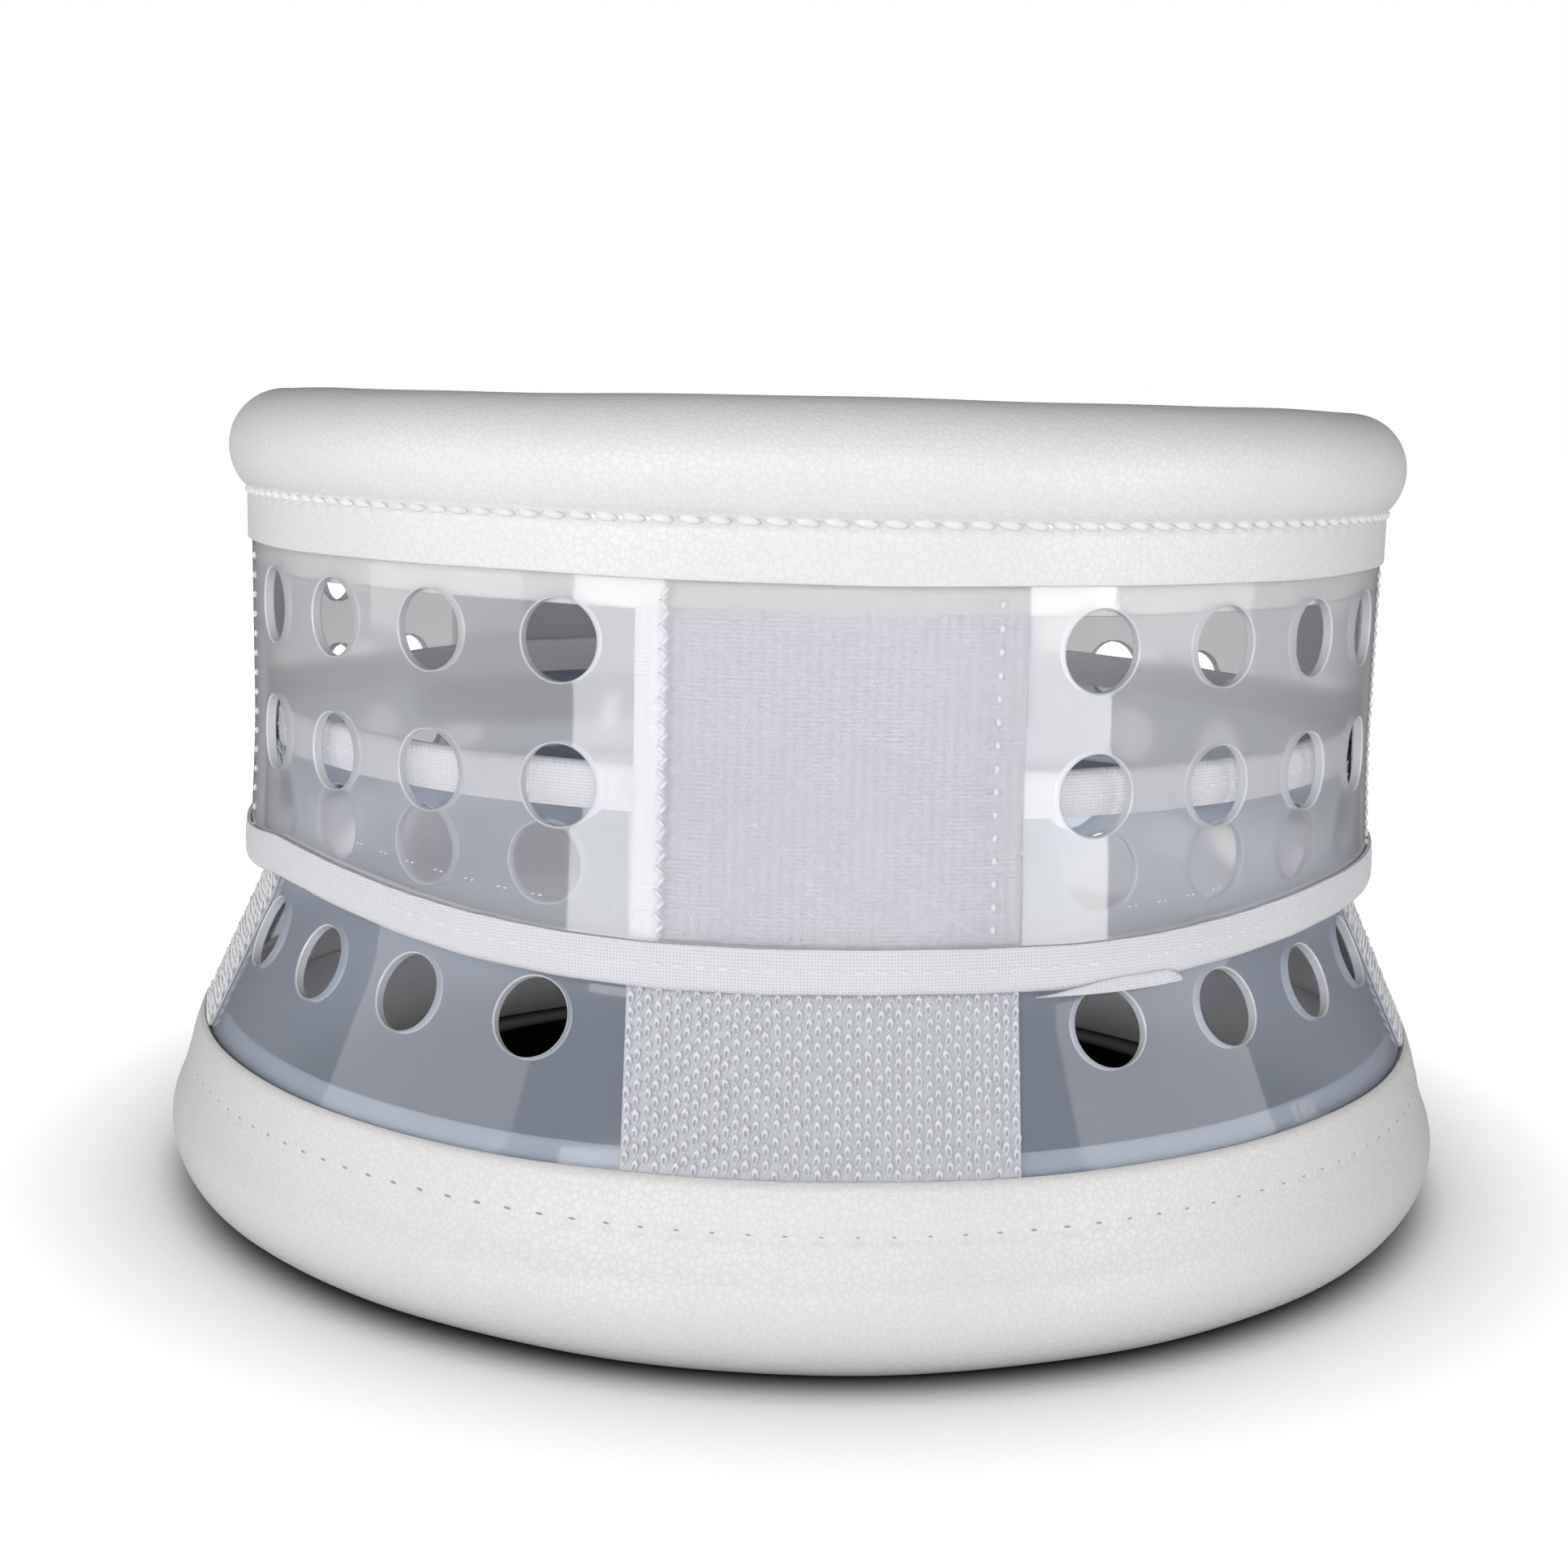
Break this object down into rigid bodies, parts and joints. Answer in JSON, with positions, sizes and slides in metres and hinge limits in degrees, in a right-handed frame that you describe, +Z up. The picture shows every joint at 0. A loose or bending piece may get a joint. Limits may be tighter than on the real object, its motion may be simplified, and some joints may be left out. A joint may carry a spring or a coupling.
{
  "type": "cervical collar",
  "caption": "Rigid neck brace of perforated plastic bands that slide for height, with padded leatherette rolls, hook-and-loop patches and rear straps.",
  "frame": {"origin": "centre of the footprint, on the surface the shoulder roll stands on", "axes": "+Z up along the neck, -Y the front of the collar, +X to the right as seen from the front"},
  "size_m": [0.1524, 0.1515, 0.091],
  "materials": {
    "polyethylene": "milky translucent polyethylene sheet, glossy",
    "leatherette": "ivory leatherette, fine grain",
    "foam": "soft open-cell foam",
    "binding_tape": "folded woven tape, matt",
    "loop_tape": "knitted loop pile",
    "hook_tape": "woven backing with fine cross ribs",
    "strap_webbing": "flat woven webbing",
    "pull_tab": "ivory leatherette, stitched",
    "thread": "white sewing thread"
  },
  "bodies": {
    "lower_band": {"lower_sheet": "polyethylene", "lower_rim_foam": "foam", "lower_rim_cover": "leatherette", "lower_edge_binding": "binding_tape", "lower_end_binding_left": "binding_tape", "lower_end_binding_right": "binding_tape", "front_loop_patch": "loop_tape", "left_loop_patch": "loop_tape", "right_loop_patch": "loop_tape", "lower_landing_loop": "loop_tape", "lower_strap_base": "strap_webbing"},
    "upper_band": {"upper_sheet": "polyethylene", "upper_rim_foam": "foam", "upper_rim_cover": "leatherette", "upper_edge_binding": "binding_tape", "upper_end_binding_left": "binding_tape", "upper_end_binding_right": "binding_tape", "front_hook_patch": "hook_tape", "left_hook_patch": "hook_tape", "right_hook_patch": "hook_tape", "upper_landing_loop": "loop_tape", "upper_strap_base": "strap_webbing"},
    "upper_strap": {"upper_strap": "strap_webbing", "upper_strap_hook": "hook_tape", "upper_strap_tab": "pull_tab"},
    "lower_strap": {"lower_strap": "strap_webbing", "lower_strap_hook": "hook_tape", "lower_strap_tab": "pull_tab"}
  },
  "joints": [
    {"name": "height_slide", "type": "slide", "parent": "lower_band", "child": "upper_band", "axis": [0, 0, 1], "range_m": [0, 0.008]},
    {"name": "upper_strap_swing", "type": "hinge", "parent": "upper_band", "child": "upper_strap", "pos_m": [0.01549, 0.06698, 0.05715], "axis": [0, 0, -1], "range_deg": [0, 110]},
    {"name": "lower_strap_swing", "type": "hinge", "parent": "lower_band", "child": "lower_strap", "pos_m": [0.016, 0.06917, 0.0264], "axis": [0.0939, 0.4061, -0.909], "range_deg": [0, 75]}
  ]
}
